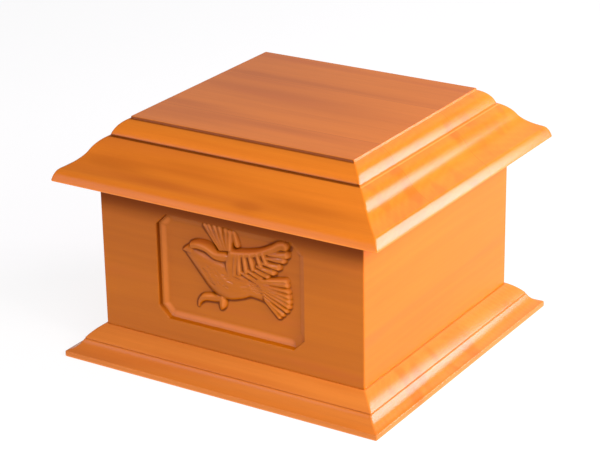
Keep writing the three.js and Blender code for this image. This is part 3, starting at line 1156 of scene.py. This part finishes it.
            # Down the rim's wall its painted shade and stains take over from the section's mark.
            sunk = min(1.0, max(0.0, depth - self.rim[0].rise / 2))
            marks.append(self.rim_stain_and_shade(z) * sunk - mark * (1 - sunk))
        x, z = self.octagon(-self.rim_lead, across, row)
        points.append(self.placed(x, 0.0, z))
        marks.append(np.zeros(len(x)))
        rings, ring_marks = self.edge_rings(self.rectangle_shares(across, row))
        points.append(rings.reshape(-1, 3))
        marks.append(ring_marks.ravel())

        points = np.vstack(points)
        piece = put_mesh(self.name, points, self.faces(border, len(points)), np.concatenate(marks))
        dress(piece, self.node, finish)
        return piece

    def faces(self, border: np.ndarray, total: int) -> list[np.ndarray]:
        """Faces of the grid, of its join to the first ring, of the rings and of the back.

        Args:
            border: corner numbers round the grid's edge.
            total: how many points there are in all.

        Returns:
            The four arrays of corner numbers.
        """
        wide, count = self.columns + 1, len(border)
        size = (self.rows + 1) * wide
        ring_rows = (total - size) // count
        here = (np.arange(self.rows)[:, None] * wide + np.arange(self.columns)).ravel()
        grid = np.stack([here, here + 1, here + wide + 1, here + wide], axis=1)
        number = np.arange(count)
        after = np.roll(number, -1)
        join = np.stack([border, size + number, size + after, border[after]], axis=1)
        last = size + (ring_rows - 1) * count + number
        return [grid, join, ring_faces(ring_rows, count, size)[:, ::-1], last[::-1][None]]

    def rectangle_shares(self, across: np.ndarray, row: np.ndarray) -> tuple[np.ndarray, np.ndarray]:
        """Where the field's edge points go on the board's edge, in half widths and half heights.

        The field's corner cuts open out to the board's square corners, half of each cut to a side.
        """
        wide = 1 - self.corner / self.half_width
        tall = 1 - self.corner / self.half_height
        low = np.clip(row / self.corner_rows, 0, 1)
        high = np.clip((self.rows - row) / self.corner_rows, 0, 1)
        share = np.minimum(low, high)
        reach = wide + (1 - wide) * np.minimum(1, 2 * share)
        rise = np.interp(share, [0, 0.5, 1], [1, 1, tall])
        middle = (row - self.rows / 2) / (self.rows / 2 - self.corner_rows) * tall
        up = np.where(share < 1, np.where(low < high, -rise, rise), middle)
        return across * reach, up


def softened(values: np.ndarray, times: int) -> np.ndarray:
    """Values on a grid after a quarter, half, quarter mean each way, so many times over."""
    for _ in range(times):
        wide = np.pad(values, ((1, 1), (0, 0)), mode="edge")
        values = values / 2 + (wide[:-2] + wide[2:]) / 4
        wide = np.pad(values, ((0, 0), (1, 1)), mode="edge")
        values = values / 2 + (wide[:, :-2] + wide[:, 2:]) / 4
    return values


def grid_edge(rows: int, columns: int) -> np.ndarray:
    """Corner numbers round a grid's edge, anticlockwise from its first point."""
    low = np.arange(columns - 1)
    right = np.arange(rows - 1) * columns + columns - 1
    top = rows * columns - 1 - np.arange(columns - 1)
    left = np.arange(rows - 1, 0, -1) * columns
    return np.concatenate([low, right, top, left])


# Studio


@dataclass
class Lamp:
    """A soft light: where it hangs in metres, its width and height, its power and its tint."""

    name: str
    place: Triple
    size: Pair
    power: float
    tint: Triple = (1.0, 1.0, 1.0)

    def hang(self, target: Vector) -> None:
        """Hangs the lamp, facing the target."""
        light = bpy.data.lights.new(self.name, "AREA")
        light.shape = "RECTANGLE"
        light.size, light.size_y = self.size
        light.energy = self.power
        light.color = self.tint
        lamp = put_object(self.name, light)
        lamp.location = self.place
        lamp.rotation_euler = (target - lamp.location).to_track_quat("-Z", "Y").to_euler()


@dataclass
class Studio:
    """White floor, soft lights, a bright surround and the camera. Lengths are metres."""

    floor_half: float = 6.0
    lens: float = 124.2
    yaw: float = 32.456
    pitch: float = 22.293
    roll: float = -0.987
    distance: float = 1.42163
    aside: float = -0.00565
    above: float = -0.0155
    aim: Triple = (0.0, 0.0, 0.0875)
    surround: float = 0.25
    floor_paint: float = 0.22
    floor_roughness: float = 0.8
    floor_glow: float = 0.84
    lamps: list[Lamp] = field(
        default_factory=lambda: [
            Lamp("key", (0.50, -0.44, 0.62), (0.45, 0.45), 3.7),
            Lamp("right_low", (0.80, 0.30, 0.36), (0.5, 0.5), 2.0),
            Lamp("raking", (0.89, -0.29, 0.66), (0.3, 0.3), 4.4),
            Lamp("behind", (0.00, 1.04, 0.68), (0.8, 0.8), 1.4),
            Lamp("left_low", (-0.51, -0.84, 0.30), (0.4, 0.4), 1.5, (0.68, 0.6, 0.9)),
            Lamp("window", (-0.22, -1.10, 0.20), (0.16, 0.16), 1.5, (0.85, 0.75, 0.9)),
            Lamp("glint", (0.785, 0.67, 0.33), (0.5, 0.6), 13.0, (1.0, 0.78, 1.0)),
            Lamp("sheen", (-0.70, 0.98, 0.58), (0.9, 0.6), 0.4, (0.8, 0.85, 1.0)),
        ]
    )

    def build(self) -> None:
        """Sets up the floor, the surround, the lights, the camera and the plain view transform."""
        self._floor()
        world = bpy.data.worlds.new("surround")
        world.use_nodes = True
        background = world.node_tree.nodes["Background"]
        background.inputs["Color"].default_value = WHITE
        background.inputs["Strength"].default_value = self.surround
        bpy.context.scene.world = world
        for lamp in self.lamps:
            lamp.hang(Vector(self.aim))
        self._camera()
        bpy.context.scene.view_settings.view_transform = "Standard"

    def _floor(self) -> None:
        """A plain white floor, lit through from below like a photographer's light table."""
        half = self.floor_half
        corners = [(x * half, y * half, 0) for x, y in ((-1, -1), (1, -1), (1, 1), (-1, 1))]
        mesh = bpy.data.meshes.new("floor")
        mesh.from_pydata(corners, [], [(0, 1, 2, 3)])
        paint = {
            "Base Color": (*[self.floor_paint] * 3, 1.0),
            "Roughness": self.floor_roughness,
            "Specular IOR Level": 0.0,
            "Emission Color": WHITE,
            "Emission Strength": self.floor_glow,
        }
        mesh.materials.append(Shader("white_floor").finished(paint))
        put_object("floor", mesh)

    def _camera(self) -> None:
        """The camera, at the yaw, pitch and roll that the object is seen from."""
        yaw, pitch, roll = (math.radians(angle) for angle in (self.yaw, self.pitch, self.roll))
        back = Vector((math.sin(yaw) * math.cos(pitch), -math.cos(yaw) * math.cos(pitch), math.sin(pitch)))
        level = Vector((math.cos(yaw), math.sin(yaw), 0))
        upright = back.cross(level)
        right = level * math.cos(roll) + upright * math.sin(roll)
        up = upright * math.cos(roll) - level * math.sin(roll)
        place = Vector(self.aim) + back * self.distance + right * self.aside + up * self.above
        lens = bpy.data.cameras.new("camera")
        lens.lens = self.lens
        lens.sensor_fit = "HORIZONTAL"
        camera = put_object("camera", lens)
        turn = Matrix((right, up, back)).transposed().to_4x4()
        camera.matrix_world = Matrix.Translation(place) @ turn
        bpy.context.scene.camera = camera


LID_WOOD = WoodFinish(
    "lid_wood",
    Grain.ALONG_X,
    pale=(0.77, 0.21, 0.015),
    deep=(0.56, 0.135, 0.009),
    joints=(-48.5, 28.7),
    streaks=(
        Streak(-20, 34, 90, 3.5, 0.3),
        Streak(-63, 35, 9, 3, 0.35),
        Streak(-40, 5, 60, 6, 0.28),
        Streak(-70, -40, 34, 5, 0.35),
        Streak(15, -54, 40, 4, 0.35),
        Streak(-45, -58, 45, 16, 0.2),
        # A broad soft darkening over the back left of the top.
        Streak(-60, 45, 60, 40, 0.14),
        Streak(-43, -112, 26, 3, 0.3),
        Streak(-84, -106, 26, 4, 0.4),
        Streak(-30, -103, 40, 3, 0.3),
        Streak(27, -115, 9, 3, 0.5),
        Streak(66, -109, 34, 3, 0.3),
        Streak(113, -54, 5, 5, 0.6),
        Streak(99, -54, 4, 6, 0.4),
        Streak(99, 24, 5, 4, 0.6),
    ),
)
# Its blue is raised over the lid's wood, painting part of the pale pink sheen on the base.
BASE_WOOD = WoodFinish(
    "base_wood", Grain.ALONG_X, pale=(0.77, 0.235, 0.034), deep=(0.56, 0.15, 0.02), pith=(-30, -70)
)
# A darker copy of the side walls' wood: painted shade for the front, with a deep painted shadow of the lid.
SHADED_FRONT_WOOD = WoodFinish(
    "front_wood",
    Grain.ALONG_X,
    pale=(0.56, 0.148, 0.002),
    deep=(0.42, 0.1, 0.0015),
    pith=(-160, 60),
    painted_eave_shade=0.95,
)
# The heads of these walls get a light painted shadow of the lid.
SIDE_WOOD = WoodFinish(
    "side_wood",
    Grain.ALONG_Y,
    pale=(0.78, 0.185, 0.0015),
    deep=(0.64, 0.132, 0.001),
    pith=(160, 70),
    painted_eave_shade=0.2,
)


def main() -> None:
    """Builds the urn box piece by piece, then the studio."""
    logging.basicConfig(level=logging.INFO, format="%(name)s %(message)s")
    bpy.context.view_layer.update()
    lid, base = LID_WOOD.material(), BASE_WOOD.material()
    front, side = SHADED_FRONT_WOOD.material(), SIDE_WOOD.material()
    MouldedSlab("urn_base", "base", "base_wood", BASE_MEMBERS, BASE_START).build(base)
    CarvedFront("carved_front", "front_panel", 0).build(front)
    Wall("right_wall", "right_panel", 1).build(side)
    Wall("back_wall", "back_panel", 2).build(front)
    Wall("left_wall", "left_panel", 3).build(side)
    MouldedSlab("urn_lid", "lid", "lid_wood", LID_MEMBERS, LID_START).build(lid)
    Studio().build()


if __name__ == "__main__":
    main()
